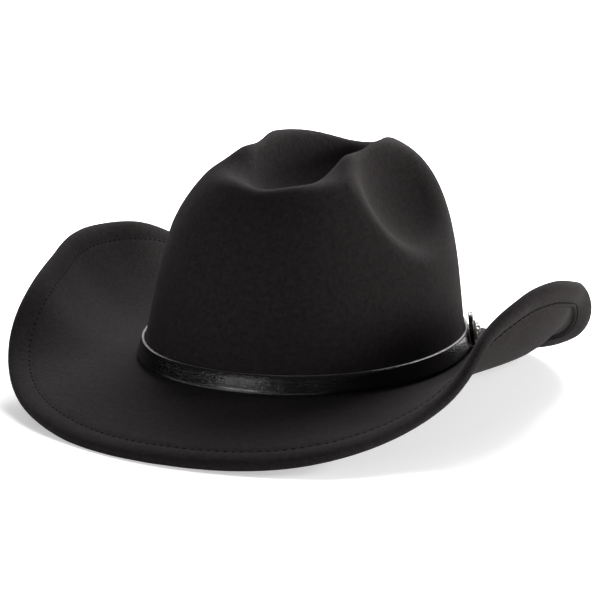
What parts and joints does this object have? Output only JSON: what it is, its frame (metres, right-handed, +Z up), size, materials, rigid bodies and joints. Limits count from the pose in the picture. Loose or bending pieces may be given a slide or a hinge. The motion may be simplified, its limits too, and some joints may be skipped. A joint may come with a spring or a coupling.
{
  "type": "cowboy hat",
  "caption": "Felt cowboy hat with a creased and pinched crown, a curled brim with a stitched rolled edge, a leather band and a concho.",
  "frame": {"origin": "centre of the hat's footprint on the plane it rests on, under the lowest stretches of the front and back brim", "axes": "-Y is the front of the hat, +X the wearer's left, +Z up out of the crown"},
  "size_m": [0.2968, 0.3632, 0.1383],
  "materials": {
    "felt": "matt brushed wool felt",
    "band_leather": "smooth, glossy",
    "silver": "antiqued, polished high spots"
  },
  "bodies": {
    "root": {"felt_body": "felt", "hat_band": "band_leather", "rosette": "band_leather", "concho": "silver"}
  },
  "joints": []
}
